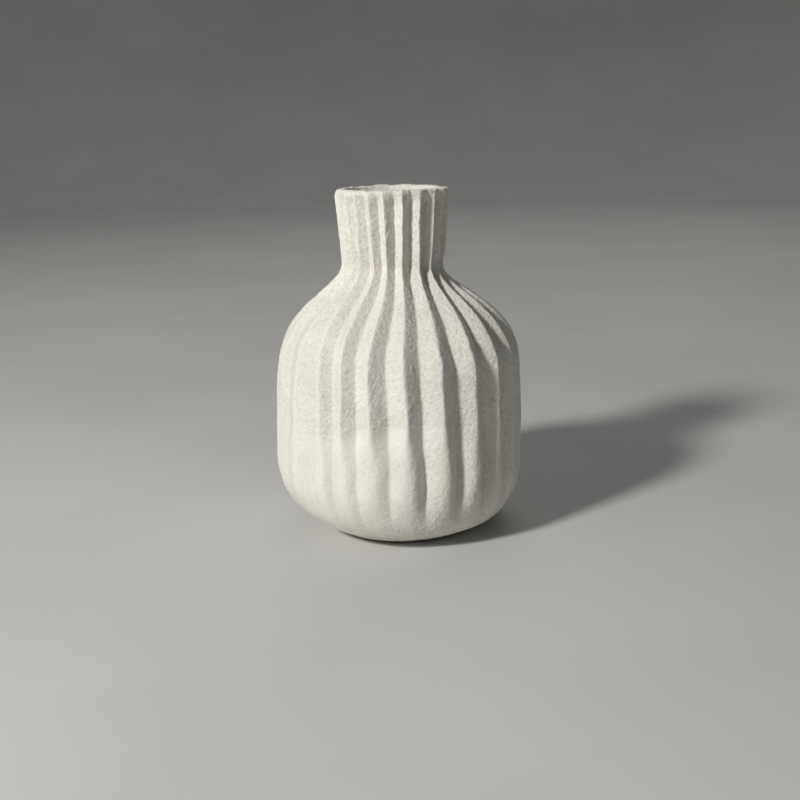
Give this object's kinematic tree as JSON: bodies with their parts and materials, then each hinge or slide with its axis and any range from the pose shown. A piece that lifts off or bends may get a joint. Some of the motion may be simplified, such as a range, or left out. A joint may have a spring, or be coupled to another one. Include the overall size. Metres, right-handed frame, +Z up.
{
  "type": "bud vase",
  "caption": "Squat fluted stoneware bud vase with a rounded foot, soft shoulder, narrow flared neck and open mouth for a stem or two.",
  "frame": {"origin": "centre of the foot's flat resting face, bottom of the bounding box", "axes": "+Z up along the vase's axis, -Y towards the front, +X to the right seen from the front"},
  "size_m": [0.0962, 0.0964, 0.1305],
  "materials": {
    "stoneware": "unglazed, matt, with a fine sandy grain",
    "slip": "smooth matt slip",
    "glaze": "thin clear satin glaze"
  },
  "bodies": {
    "root": {"base_slab": "stoneware", "base_seam_slip": "slip", "lower_wall": "stoneware", "belly_seam_slip": "slip", "shoulder_wall": "stoneware", "neck_seam_slip": "slip", "neck_collar": "stoneware", "liner_glaze": "glaze"}
  },
  "joints": []
}
